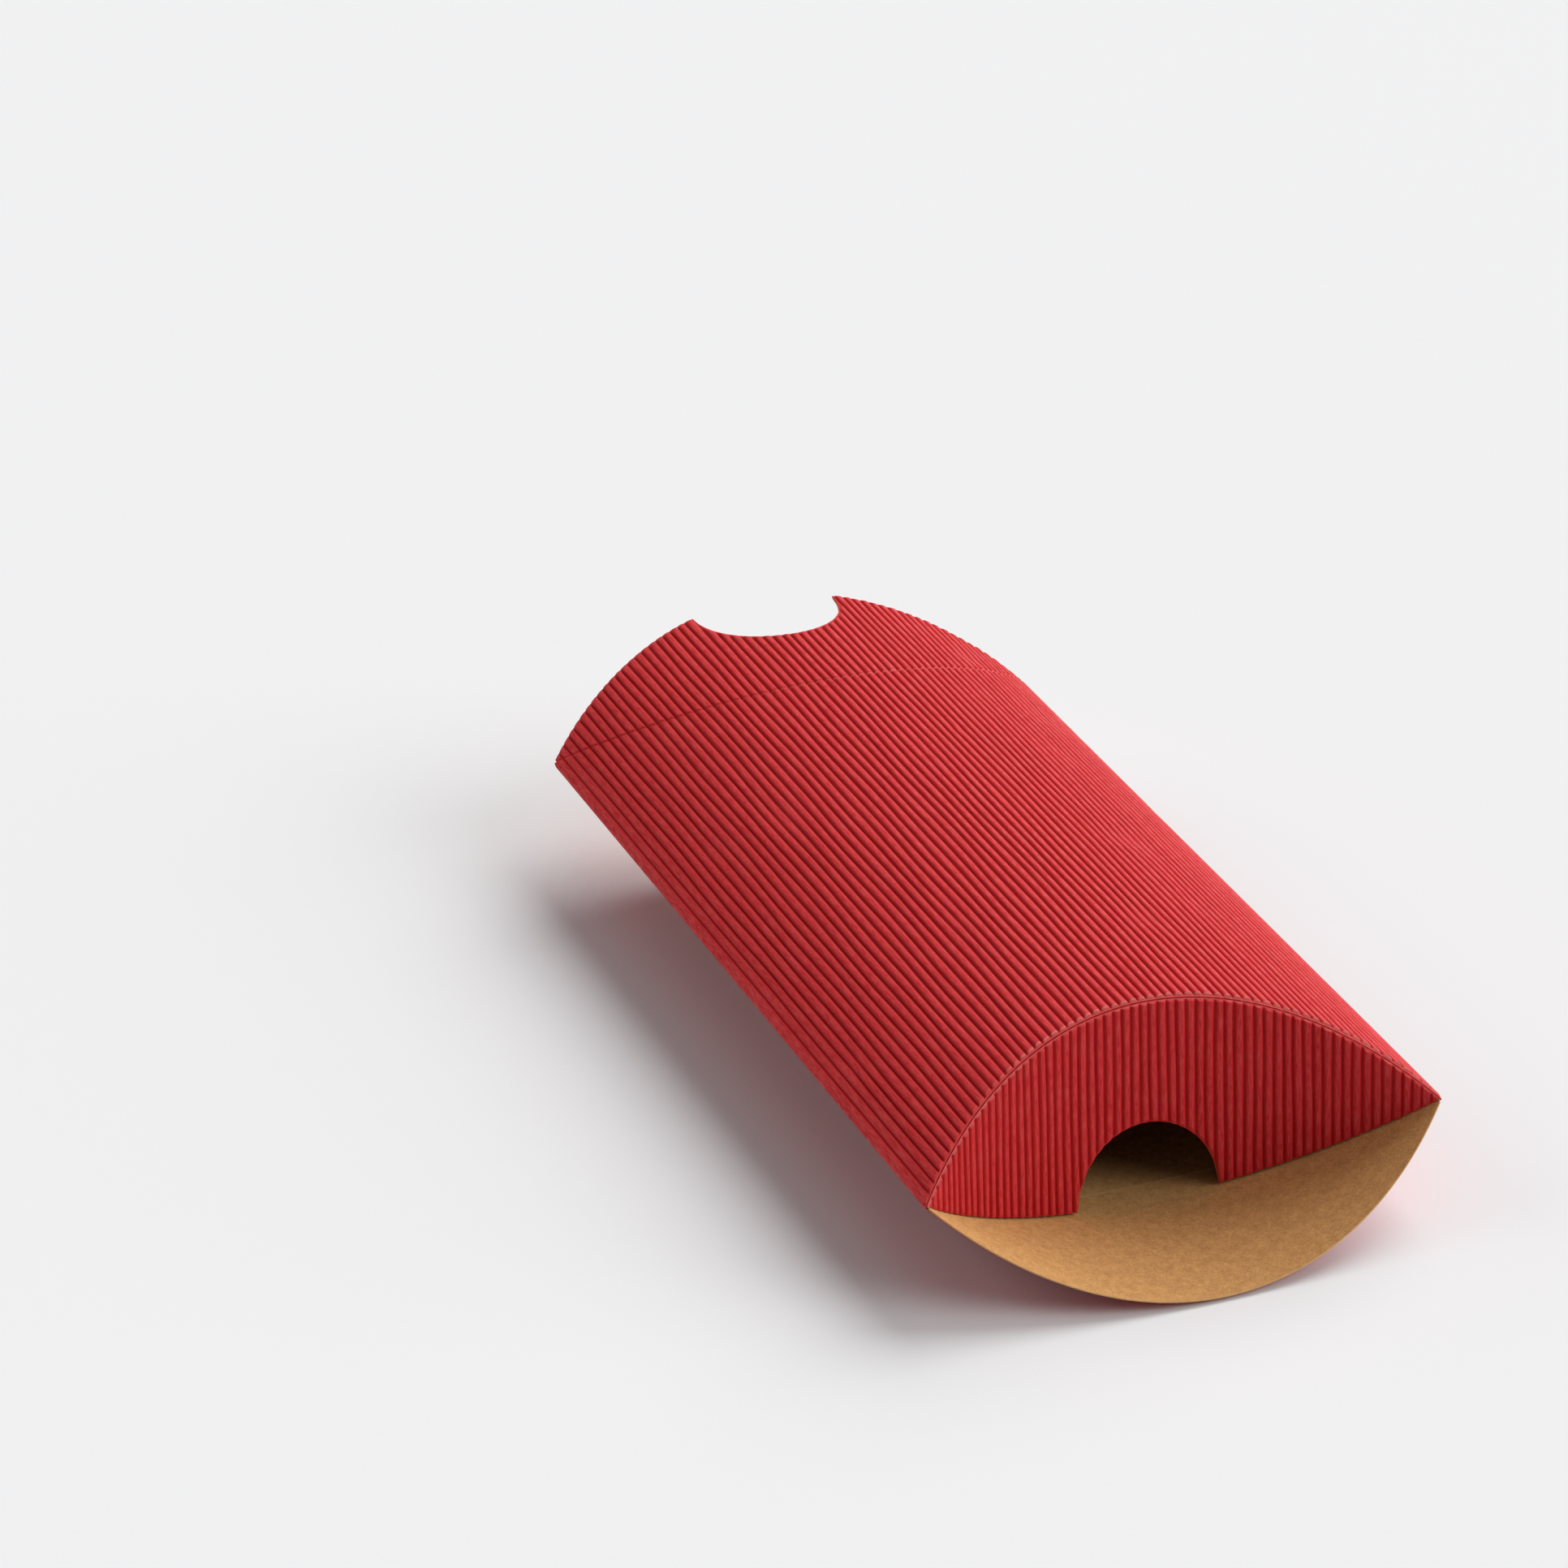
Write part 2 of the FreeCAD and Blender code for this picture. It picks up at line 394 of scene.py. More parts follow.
@dataclass(frozen=True)
class Fluting:
    """The flutes of one row of the blank, panel and both flaps, with the unevenness of real board."""

    arch: Arch
    board: Board
    seed: int

    RIDGE_POWER = 3.6
    SIDE_POWER = 6.0
    CROWDING = 0.55
    PINCH_POWER = 1.2
    SIDE_SHARE = 0.45
    SIDE_FLUTES = 4.0
    # Each wander has its size, its waves' lengths along the blank and along the arch, and its start.
    WANDERS = ((0.09 * MM, 83 * MM, 31 * MM, 0.0), (0.07 * MM, 47 * MM, -17 * MM, 0.3),
               (0.06 * MM, 140 * MM, 6.5 * MM, 0.6), (0.04 * MM, 23 * MM, 4.1 * MM, 0.1))
    STEADY_EDGE = 8 * MM
    HEIGHT_SHARES = (1.0, 0.9)
    SPREAD_SHARES = (0.75, 1.25)
    DENTS = 30
    DENT_HALF_RUN = 126 * MM
    DENT_RADII = (1.2 * MM, 4.7 * MM)
    DENT_SHARES = (0.15, 0.5)

    @cached_property
    def count(self) -> int:
        """Number of flutes across the panel."""
        return round(2 * self.arch.half_length / self.board.pitch)

    @cached_property
    def pitch(self) -> float:
        """Spacing that fits the flutes to the panel."""
        return 2 * self.arch.half_length / self.count

    @cached_property
    def draws(self) -> dict[str, Array]:
        """Draw each flute's height and how wide it is pressed, and the dents' places and sizes, by the seed.

        Returns:
            The draws by name.
        """
        source = np.random.default_rng(self.seed)
        length, run = self.arch.half_length, self.DENT_HALF_RUN
        ranges = {
            "height": (self.count, *self.HEIGHT_SHARES),
            "spread": (self.count, *self.SPREAD_SHARES),
            "dent_along": (self.DENTS, -length, length),
            "dent_run": (self.DENTS, -run, run),
            "dent_radius": (self.DENTS, *self.DENT_RADII),
            "dent_depth": (self.DENTS, *self.DENT_SHARES),
        }
        return {name: low + (high - low) * source.random(count)
                for name, (count, low, high) in ranges.items()}

    def crowded(self, along: Array) -> Array:
        """Move evenly spread columns towards the valleys, where the paper bends most.

        Args:
            along: Lengths along the arch from its crown.

        Returns:
            The moved lengths, with the outermost as they were.
        """
        turn = 2 * np.pi / self.pitch
        moved = along + self.CROWDING * np.sin(turn * along) / turn
        return moved * (along.max() / moved.max())

    def number(self, along: Array) -> Array:
        """Which flute each point lies on."""
        nearest = np.rint(along / self.pitch).astype(int) + (self.count - 1) // 2
        return np.clip(nearest, 0, self.count - 1)

    def spread(self, along: Array) -> Array:
        """How wide each point's flute is pressed at its creases."""
        return self.draws["spread"][self.number(along)]

    def ridge(self, along: Array, run: Array) -> Array:
        """Shape of the flutes: 0 in a valley, 1 on a ridge, and a flattened band along the side folds.

        Args:
            along: Lengths along the arch from its crown.
            run: Lengths along the unfolded blank.

        Returns:
            The share of the flute's height at each point.
        """
        edge = self.arch.half_length - np.abs(along)
        moved = along
        for size, run_wave, along_wave, start in self.WANDERS:
            turn = 2 * np.pi * (run / run_wave + along / along_wave + start)
            moved = moved + size * np.sin(turn) * smooth_step(edge / self.STEADY_EDGE)
        wave = 0.5 + 0.5 * np.cos(2 * np.pi * moved / self.pitch)
        power = self.RIDGE_POWER + self.SIDE_POWER * (1 - self.clear_of_side(along))
        return np.where(edge < self.pitch / 2, 1, 1 - (1 - wave) ** power)

    def clear_of_side(self, along: Array) -> Array:
        """0 at the side folds, where the board is flattened, and 1 a few flutes away."""
        edge = self.arch.half_length - np.abs(along)
        return smooth_step(edge / (self.SIDE_FLUTES * self.pitch))

    def wholeness(self, along: Array, run: Array) -> Array:
        """Share of its full height that each flute has, with its own height, its dents and the side folds.

        Args:
            along: Lengths along the arch from its crown.
            run: Lengths along the unfolded blank.

        Returns:
            The share at each point.
        """
        side = self.SIDE_SHARE + (1 - self.SIDE_SHARE) * self.clear_of_side(along)
        share = self.draws["height"][self.number(along)] * side
        dents = [self.draws[name] for name in ("dent_along", "dent_run", "dent_radius", "dent_depth")]
        for place, line, radius, depth in zip(*dents):
            share = share * (1 - depth * bump(np.hypot(along - place, run - line), radius))
        return share

    def relief(self, along: Array, run: Array, pressed: Array) -> Array:
        """Height share of the fluted paper, pressed and pinched near the creases."""
        pinch = 1 + self.PINCH_POWER * (1 - np.clip(pressed, 0, 1))
        return self.ridge(along, run) ** pinch * pressed * self.wholeness(along, run)

    def hollow(self, along: Array, run: Array, pressed: Array) -> Array:
        """Mask of the painted valley shade: 0 on a ridge or pressed flat, 1 in an open valley."""
        return (1 - self.ridge(along, run)) * np.clip(pressed, 0, 1)


def flat_blank(name: str, columns: int, rows: int) -> tuple[Piece, Array, Array]:
    """Add a flat grid and say which column and row each of its points is on.

    Args:
        name: Name of the new piece.
        columns: Cells across.
        rows: Cells along.

    Returns:
        The object, and the column and row number of each point.
    """
    bpy.ops.object.select_all(action="DESELECT")
    bpy.ops.mesh.primitive_grid_add(x_subdivisions=columns, y_subdivisions=rows, size=1)
    piece = bpy.context.object
    piece.name = piece.data.name = name
    points = points_of(piece)
    column = np.rint((points[:, 0] + 0.5) * columns).astype(int)
    row = np.rint((points[:, 1] + 0.5) * rows).astype(int)
    return piece, column, row


def points_of(piece: Piece) -> Array:
    """Read the places of a piece's points.

    Args:
        piece: The piece.

    Returns:
        One row of X, Y and Z for each point.
    """
    flat = np.empty(len(piece.data.vertices) * 3)
    piece.data.vertices.foreach_get("co", flat)
    return flat.reshape(-1, 3)


def move_points(piece: Piece, points: Array) -> None:
    """Put a piece's points in new places."""
    piece.data.vertices.foreach_set("co", points.ravel())
    piece.data.update()


def make_active(piece: Piece) -> None:
    """Select one piece alone for the next operator.

    Args:
        piece: The piece.
    """
    bpy.ops.object.select_all(action="DESELECT")
    piece.select_set(True)
    bpy.context.view_layer.objects.active = piece


def thicken(piece: Piece, thickness: float, side: int) -> None:
    """Give a sheet its thickness.

    Args:
        piece: The sheet.
        thickness: Thickness of the ply.
        side: 1 to add it on the side that the faces look to, and -1 on the other.
    """
    make_active(piece)
    bpy.ops.object.modifier_add(type="SOLIDIFY")
    modifier = piece.modifiers[-1]
    modifier.thickness = thickness
    modifier.offset = side
    bpy.ops.object.modifier_apply(modifier=modifier.name)


def face_outward(piece: Piece) -> None:
    """Turn the faces of a closed piece round if they look inwards.

    Args:
        piece: The piece.
    """
    mesh = piece.data
    mesh.calc_loop_triangles()
    corners = np.empty(len(mesh.loop_triangles) * 3, dtype=np.int32)
    mesh.loop_triangles.foreach_get("vertices", corners)
    first, second, third = points_of(piece)[corners.reshape(-1, 3)].transpose(1, 0, 2)
    if np.einsum("ij,ij->", first, np.cross(second, third)) < 0:
        mesh.flip_normals()


def keep_trace(piece: Piece, trace: Trace, values: Array) -> None:
    """Keep a vector, or a value held between 0 and 1, on each point for the finish to read.

    Args:
        piece: The piece.
        trace: What the values are.
        values: One for each point.
    """
    kind, field = ("FLOAT_VECTOR", "vector") if values.ndim > 1 else ("FLOAT", "value")
    held = values if values.ndim > 1 else np.clip(values, 0, 1)
    attribute = piece.data.attributes.new(trace.value, kind, "POINT")
    attribute.data.foreach_set(field, held.astype(np.float32).ravel())


def complete(piece: Piece, dress: Dress, slot: Slot, node: str) -> None:
    """Close the making of a piece: faces, shading, the finish of its slot, and hiding the solid that it stands
    for.

    Args:
        piece: The piece.
        dress: The finish of each slot.
        slot: The record's slot that it takes its finish from.
        node: The solid that it stands for, which is hidden.
    """
    face_outward(piece)
    make_active(piece)
    bpy.ops.object.shade_smooth_by_angle(angle=SMOOTH_ANGLE)
    piece.data.materials.clear()
    piece.data.materials.append(dress[slot])
    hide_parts(node)
    LOG.info("%s: %d faces", piece.name, len(piece.data.polygons))


def linear(red: int, green: int, blue: int) -> tuple[float, float, float, float]:
    """Turn a colour as seen on screen into the linear one that a shader takes.

    Args:
        red: Red, up to 255.
        green: Green, up to 255.
        blue: Blue, up to 255.

    Returns:
        The linear colour, opaque.
    """
    shares = [value / 255 for value in (red, green, blue)]
    turned = [share / 12.92 if share <= 0.04045 else ((share + 0.055) / 1.055) ** 2.4 for share in shares]
    return turned[0], turned[1], turned[2], 1.0


class Graph:
    """Short hand for adding and joining the nodes of one tree."""

    def __init__(self, tree: bpy.types.NodeTree) -> None:
        """Start on a tree with no nodes left in it."""
        self.tree = tree
        tree.nodes.clear()

    def add(self, kind: str, inputs: dict | None = None, **settings: object) -> bpy.types.Node:
        """Add a node.

        Args:
            kind: The node's type, without the ShaderNode that most of them start with.
            inputs: Values or outgoing sockets for its inputs, by name or number.
            settings: Values of the node's own settings.

        Returns:
            The node.
        """
        node = self.tree.nodes.new(kind if kind.startswith("Node") else "ShaderNode" + kind)
        for name, value in settings.items():
            setattr(node, name, value)
        for name, value in (inputs or {}).items():
            if isinstance(value, Socket):
                self.tree.links.new(value, node.inputs[name])
            else:
                node.inputs[name].default_value = value
        return node

    def mix(self, share: object, first: object, second: object) -> Socket:
        """Mix two colours by a share."""
        return self.add("Mix", {0: share, 6: first, 7: second}, data_type="RGBA").outputs[2]

    def scaled(self, value: object, low: float, high: float, start: float = 0.0, end: float = 1.0) -> Socket:
        """Map a value from one range, from 0 to 1 if not given, on to another."""
        return self.add("MapRange", {0: value, 1: start, 2: end, 3: low, 4: high}).outputs[0]

    def maths(self, operation: str, first: object, second: object) -> Socket:
        """Join two values by an operation."""
        return self.add("Math", {0: first, 1: second}, operation=operation).outputs[0]

    def trace(self, trace: Trace) -> Socket:
        """Read a value kept on the points."""
        return self.add("Attribute", attribute_name=trace.value).outputs["Fac"]

    def tinted(self, colour: object, tints: tuple) -> object:
        """Lay tints over a colour, one after another.

        Args:
            colour: The colour that they are laid on.
            tints: For each, what it follows, its strongest share, where it starts and ends, and its colour.

        Returns:
            The tinted colour.
        """
        for mask, share, start, end, tint in tints:
            colour = self.mix(self.scaled(mask, 0.0, share, start, end), colour, tint)
        return colour


def paper_fibre_group() -> bpy.types.NodeTree:
    """Make the node group of paper's fibres: drawn-out strands, soft clouds and sparse flecks on the blank.

    Returns:
        The group.
    """
    group = bpy.data.node_groups.new("paper_fibre", "ShaderNodeTree")
    for name, kind in (("Vector", "NodeSocketVector"), ("Strand Scale", "NodeSocketVector"),
                       ("Cloud Scale", "NodeSocketFloat"), ("Fleck Scale", "NodeSocketFloat")):
        group.interface.new_socket(name, in_out="INPUT", socket_type=kind)
    for name in ("Strands", "Clouds", "Flecks"):
        group.interface.new_socket(name, in_out="OUTPUT", socket_type="NodeSocketFloat")
    graph = Graph(group)
    given = graph.add("NodeGroupInput").outputs
    drawn = graph.add("VectorMath", {0: given["Vector"], 1: given["Strand Scale"]}, operation="MULTIPLY")
    strands = graph.add("TexNoise", {"Vector": drawn.outputs[0], "Scale": 1.0, "Detail": 4.0,
                                     "Roughness": 0.65})
    clouds = graph.add("TexNoise", {"Vector": given["Vector"], "Scale": given["Cloud Scale"], "Detail": 5.0,
                                    "Roughness": 0.6})
    fine = graph.add("TexNoise", {"Vector": given["Vector"], "Scale": given["Fleck Scale"], "Detail": 2.0,
                                  "Distortion": 1.5})
    flecks = graph.scaled(fine.outputs[0], 0.0, 1.0, 0.60, 0.74)
    graph.add("NodeGroupOutput", {"Strands": strands.outputs[0], "Clouds": clouds.outputs[0],
                                  "Flecks": flecks})
    return group


@dataclass(frozen=True)
class Fibre:
    """How fine the fibres of a paper are, in strands each way, clouds and flecks to the metre."""

    strands: tuple
    clouds: float
    flecks: float


@dataclass(frozen=True)
class Finish:
    """A finish of paper or glue: its name, and the group of fibres that it shares with the others."""

    name: str
    fibres: bpy.types.NodeTree

    def start(self) -> tuple[bpy.types.Material, Graph]:
        """Make the material and an empty graph for it.

        Returns:
            The material and its graph.
        """
        material = bpy.data.materials.new(self.name)
        material.use_nodes = True
        return material, Graph(material.node_tree)

    def paper(self, graph: Graph, fibre: Fibre) -> bpy.types.bpy_prop_collection:
        """Add the shared paper fibres, laid out on the flat blank.

        Args:
            graph: The material's graph.
            fibre: How fine they are.

        Returns:
            The group's outgoing sockets.
        """
        blank = graph.add("Attribute", attribute_name=Trace.BLANK.value).outputs["Vector"]
        inputs = {"Vector": blank, "Strand Scale": fibre.strands, "Cloud Scale": fibre.clouds,
                  "Fleck Scale": fibre.flecks}
        return graph.add("Group", inputs, node_tree=self.fibres).outputs

    def close(self, graph: Graph, relief: dict, surface: dict) -> None:
        """Join the surface, raised by its fibres, to the material's output.

        Args:
            graph: The material's graph.
            relief: Inputs of the raised fibres.
            surface: Inputs of the surface.
        """
        normal = graph.add("Bump", relief).outputs[0]
        shader = graph.add("BsdfPrincipled", {**surface, "Normal": normal})
        graph.add("OutputMaterial", {"Surface": shader.outputs[0]})


@dataclass(frozen=True)
class RedFlutedPaper(Finish):
    """Red dyed paper: mottled with fine strands, with painted shade in the valleys and painted highlights on
    the ridge tops and at the creases, where the caps are also scuffed.
    """

    plain: tuple = linear(212, 38, 48)
    warm: tuple = linear(212, 48, 46)
    dull: tuple = linear(182, 42, 46)
    hollow: tuple = linear(162, 7, 14)
    ridge_top_highlight: tuple = linear(232, 104, 104)
    worn: tuple = linear(240, 138, 130)
    fine: Fibre = Fibre((2600, 340, 2600), 700, 2600)
    drawn: Fibre = Fibre((420, 36, 420), 170, 5200)
    raised: float = 0.05 * MM

    def build(self) -> bpy.types.Material:
        """Make the material.

        Returns:
            The material.
        """
        material, graph = self.start()
        fibre, streaks = self.paper(graph, self.fine), self.paper(graph, self.drawn)
        # The paper's own mottling in warmer, duller, darker and paler tones, sharing the colours of the
        # painted marks.
        colour = graph.tinted(self.plain, ((fibre["Clouds"], 1.0, 0.35, 0.65, self.warm),
                                           (fibre["Strands"], 0.8, 0.45, 0.75, self.dull),
                                           (streaks["Strands"], 0.32, 0.5, 0.72, self.hollow),
                                           (streaks["Clouds"], 0.06, 0.5, 0.72, self.worn),
                                           (fibre["Flecks"], 0.4, 0.0, 1.0, self.hollow),
                                           (streaks["Flecks"], 0.14, 0.0, 1.0, self.worn)))
        # Painted shade: the valleys and the bottoms of the scored grooves are darkened.
        depth = graph.trace(Trace.HOLLOW)
        # Painted highlight along the ridge tops, broken up by the fibre strands.
        ridge_top_highlight = graph.maths("MULTIPLY", graph.scaled(depth, 1.0, 0.0, 0.0, 0.05),
                            graph.scaled(fibre["Strands"], 0.34, 0.0, 0.36, 0.62))
        # Pale crease marks: scuffed paper and painted highlights, broken up by the fibre strands.
        pale_mark_and_highlight_mask = graph.maths("MULTIPLY", graph.trace(Trace.WORN),
                           graph.scaled(fibre["Strands"], 0.7, 1.0, 0.3, 0.6))
        colour = graph.tinted(colour, ((ridge_top_highlight, 1.0, 0.0, 1.0, self.ridge_top_highlight),
                                       (depth, 0.95, 0.1, 0.9, self.hollow),
                                       (pale_mark_and_highlight_mask, 1.0, 0.0, 1.0, self.worn)))
        relief = graph.maths("ADD", fibre["Strands"], fibre["Clouds"])
        self.close(graph, {"Strength": 0.35, "Distance": self.raised, "Height": relief},
                   {"Base Color": colour, "Roughness": graph.scaled(fibre["Strands"], 0.46, 0.66, 0.3, 0.7),
                    "Specular IOR Level": 0.08})
        return material


@dataclass(frozen=True)
class KraftPaper(Finish):
    """Smooth brown kraft: cloudy formation, short fibres both ways, a paler line at a score, and a painted
    highlight along a flap's free edge.
    """

    base: tuple = linear(212, 159, 98)
    dark: tuple = linear(153, 103, 54)
    pale: tuple = linear(226, 184, 130)
    crosswise: Fibre = Fibre((1700, 2700, 900), 420, 1900)
    lengthwise: Fibre = Fibre((2900, 1900, 900), 1900, 2700)
    raised: float = 0.04 * MM

    def build(self) -> bpy.types.Material:
        """Make the material.

        Returns:
            The material.
        """
        material, graph = self.start()
        across, along = self.paper(graph, self.crosswise), self.paper(graph, self.lengthwise)
        colour = graph.tinted(self.base, ((across["Clouds"], 0.45, 0.35, 0.7, self.dark),
                                          (along["Clouds"], 0.55, 0.45, 0.75, self.dark),
                                          (across["Strands"], 0.55, 0.48, 0.75, self.pale),
                                          (along["Flecks"], 0.5, 0.0, 1.0, self.dark),
                                          (across["Flecks"], 0.35, 0.0, 1.0, self.pale),
                                          # Paler along a score, and a painted highlight along a flap's free
                                          # edge.
                                          (graph.trace(Trace.WORN), 0.6, 0.0, 1.0, self.pale)))
        relief = graph.maths("ADD", across["Strands"], along["Strands"])
        self.close(graph, {"Strength": 0.25, "Distance": self.raised, "Height": relief},
                   {"Base Color": colour, "Roughness": graph.scaled(along["Clouds"], 0.7, 0.9),
                    "Specular IOR Level": 0.12})
        return material


@dataclass(frozen=True)
class DriedGlue(Finish):
    """Dried packaging glue: a milky amber film with a soft gloss and clouds."""

    clear: tuple = linear(226, 208, 160)
    milky: tuple = linear(238, 230, 206)
    ripple: Fibre = Fibre((600, 600, 600), 300, 1200)
    raised: float = 0.05 * MM

    def build(self) -> bpy.types.Material:
        """Make the material.

        Returns:
            The material.
        """
        material, graph = self.start()
        film = self.paper(graph, self.ripple)
        colour = graph.mix(film["Clouds"], self.clear, self.milky)
        self.close(graph, {"Strength": 0.3, "Distance": self.raised, "Height": film["Clouds"]},
                   {"Base Color": colour, "Roughness": graph.scaled(film["Strands"], 0.22, 0.45),
                    "Subsurface Weight": 0.2})
        return material


def finishes() -> Dress:
    """Make the three finishes round one group of fibres."""
    fibres = paper_fibre_group()
    return {Slot.FLUTES: RedFlutedPaper("red_fluted_paper", fibres).build(),
            Slot.LINER: KraftPaper("kraft_paper", fibres).build(),
            Slot.GLUE: DriedGlue("dried_glue", fibres).build()}


@dataclass(frozen=True)
class Spots:
    """Points of a flat sheet, by where they lie on it.

    They have a length along the arch from its crown, a reach, and a height out from the reference face, which
    is the outer face of the liner.  The reach is the length along the box from its middle, or on a flap the
    distance from the crease.
    """

    along: Array
    reach: Array
    out: Array | float = 0.0


@dataclass
class Sheet:
    """A sheet that is bent over the arch of the upper or the lower panel and fixed to the tube."""

    name: str
    layer: Layer
    tube: Tube
    fluting: Fluting

    @property
    def arch(self) -> Arch:
        """The section that the sheet is bent to."""
        return self.fluting.arch

    @property
    def board(self) -> Board:
        """The board's thicknesses."""
        return self.fluting.board

    def shape(self, spots: Spots) -> Array:
        """Bend the sheet over the arch and give its points."""
        x, z = self.arch.place(spots.along, spots.out)
        return np.stack([x, spots.reach, z], axis=1)

    def unroll(self, points: Array) -> Spots:
        """Find where points lie on the flat sheet, the reverse of shape."""
        along, out = self.arch.unroll(points[:, 0], points[:, 2])
        return Spots(along, points[:, 1], out)

    def run(self, spots: Spots) -> Array:
        """Lengths along the unfolded blank, from the middle of the box."""
        return spots.reach

    def keep_place(self, piece: Piece, spots: Spots) -> None:
        """Keep where the points lie on the blank, which the fibres follow."""
        keep_trace(piece, Trace.BLANK, np.stack([spots.along, self.run(spots), spots.out], axis=1))

    def placed(self, points: Array) -> Array:
        """Move points from the middle of the tube, right way up, to where the box lies."""
        x, y, z = points.T
        return np.stack([x, self.tube.middle_y + y, self.tube.middle_z + self.layer.value * z], axis=1)

    def fix(self, piece: Piece, spots: Spots) -> None:
        """Fix the sheet to the tube, wherever its points lie."""
        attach(piece, "tube")


@dataclass
class Leaf(Sheet):
    """A panel, a flap or the tab: a fluted paper on a kraft liner, with the creases and cuts beside them."""

    COLUMNS_PER_FLUTE = 10
    LINER_COLUMNS = 180
    EVEN_ROWS = {Ply.FLUTES: 56, Ply.LINER: 20}
    END_ROWS = 11
    NEAR_SHARE = 0.012
    FAR_SHARE = 0.012
    SEAM_GAP = 0.02 * MM

    @property
    def stack(self) -> int:
        """1 where the plies lie outwards over each other, and -1 where they are turned inside out."""
        return 1

    @property
    def valley_shade(self) -> float:
        """How strong the painted shade in the valleys is, as a share."""
        return 1.0

    def build(self, dress: Dress) -> None:
        """Make both plies, dress them and hand each to fix.

        Args:
            dress: The finish of each slot.
        """
        for ply in Ply:
            piece, spots = self.sheet(ply)
            out = -self.summed(Press.dip, spots)
            if ply is Ply.FLUTES:
                out = out + self.board.outer_face(self.relief(spots))
            move_points(piece, self.shape(replace(spots, out=out)))
            thicken(piece, self.board.thickness(ply), -self.stack)
            points = points_of(piece)
            spots = self.unroll(points)
            self.keep_traces(piece, ply, spots)
            move_points(piece, self.placed(points))
            complete(piece, dress, ply.slot, ply.node(self.name))
            self.fix(piece, spots)

    def sheet(self, ply: Ply) -> tuple[Piece, Spots]:
        """Lay out the flat blank of a ply."""
        raise NotImplementedError

    def blank(self, ply: Ply, half: float) -> tuple[Piece, Array, Array]:
        """Add the grid of a ply, with columns that follow the flutes and close rows at both ends.

        Args:
            ply: Which ply it is.
            half: Length along the arch from the crown to the grid's sides.

        Returns:
            The grid, and each point's length along the arch and share of the way from end to end.
        """
        rows = graded_rows(self.EVEN_ROWS[ply], self.END_ROWS, self.NEAR_SHARE, self.FAR_SHARE)
        fluted = ply is Ply.FLUTES
        columns = self.COLUMNS_PER_FLUTE * self.fluting.count if fluted else self.LINER_COLUMNS
        piece, column, row = flat_blank(ply.piece(self.name), columns, len(rows) - 1)
        return piece, self.fluting.crowded(half * (2 * column / columns - 1)), rows[row]

    def creases(self, spots: Spots) -> list[tuple[Press, Array]]:
        """Creases beside the leaf, each with the points' distances from it."""
        return []

    def cuts(self, spots: Spots) -> list[tuple[Press, Array]]:
        """Cut edges of the leaf, each with the points' distances from it."""
        return []

    def summed(self, effect: Callable[[Press, Array], Array], spots: Spots) -> Array:
        """Add up what each crease does to the points."""
        return sum([effect(press, gap) for press, gap in self.creases(spots)], np.zeros_like(spots.along))

    def pressed(self, spots: Spots) -> Array:
        """Share of the flutes' height that the creases and the cuts leave."""
        shares = [press.height_share(gap, self.fluting.spread(spots.along))
                  for press, gap in self.creases(spots) + self.cuts(spots)]
        return math.prod(shares, start=np.ones_like(spots.along))

    def relief(self, spots: Spots) -> Array:
        """Height share of the fluted paper."""
        return self.fluting.relief(spots.along, self.run(spots), self.pressed(spots))

    def bared(self, spots: Spots) -> Array:
        """How much paler the kraft is along the scores."""
        return self.summed(Press.score, spots)

    def keep_traces(self, piece: Piece, ply: Ply, spots: Spots) -> None:
        """Keep what the finish reads: places on the blank, the painted valley shade, and the pale marks with
        painted highlights.

        Args:
            piece: The ply's piece.
            ply: Which ply it is.
            spots: Where its points lie on the blank.
        """
        self.keep_place(piece, spots)
        if ply is Ply.LINER:
            # Kraft: paler along the scores, and a painted highlight along a flap's free edge.
            keep_trace(piece, Trace.WORN, self.bared(spots))
            return
        along, run = spots.along, self.run(spots)
        # Painted shade in the valleys, weaker on a folded flap, and at the bottoms of the scored grooves.
        hollow = self.valley_shade * self.fluting.hollow(along, run, self.pressed(spots))
        keep_trace(piece, Trace.HOLLOW, hollow + self.summed(Press.groove, spots))
        spread, ridge = self.fluting.spread(along), self.fluting.ridge(along, run)
        # Pale crease marks: caps partly scuffed and partly painted highlight, and a painted highlight rim.
        worn = self.summed(lambda press, gap: press.worn(along, gap, spread, ridge), spots)
        keep_trace(piece, Trace.WORN, worn)


@dataclass
class Panel(Leaf):
    """One arched panel between its two curved creases."""

    front_depth: float
    rear_depth: float
    front_crease: Press
    rear_crease: Press

    def sheet(self, ply: Ply) -> tuple[Piece, Spots]:
        """Lay out the flat blank of a ply between the creases.

        Args:
            ply: Which ply it is.

        Returns:
            The sheet, and where its points lie.
        """
        piece, along, share = self.blank(ply, self.arch.half_length)
        front, rear = self.crease_lines(along)
        front, rear = front + self.SEAM_GAP, rear - self.SEAM_GAP
        return piece, Spots(along, front + (rear - front) * share)

    def crease_lines(self, along: Array) -> tuple[Array, Array]:
        """Reach of the front and of the rear crease at each length along the arch."""
        share = self.arch.place(along, 0)[1] / self.tube.rise
        return self.front_depth * share - self.tube.half_side, self.tube.half_side - self.rear_depth * share

    def creases(self, spots: Spots) -> list[tuple[Press, Array]]:
        """The front and the rear crease, each with the points' distances from it."""
        front, rear = self.crease_lines(spots.along)
        return [(self.front_crease, spots.reach - front), (self.rear_crease, rear - spots.reach)]


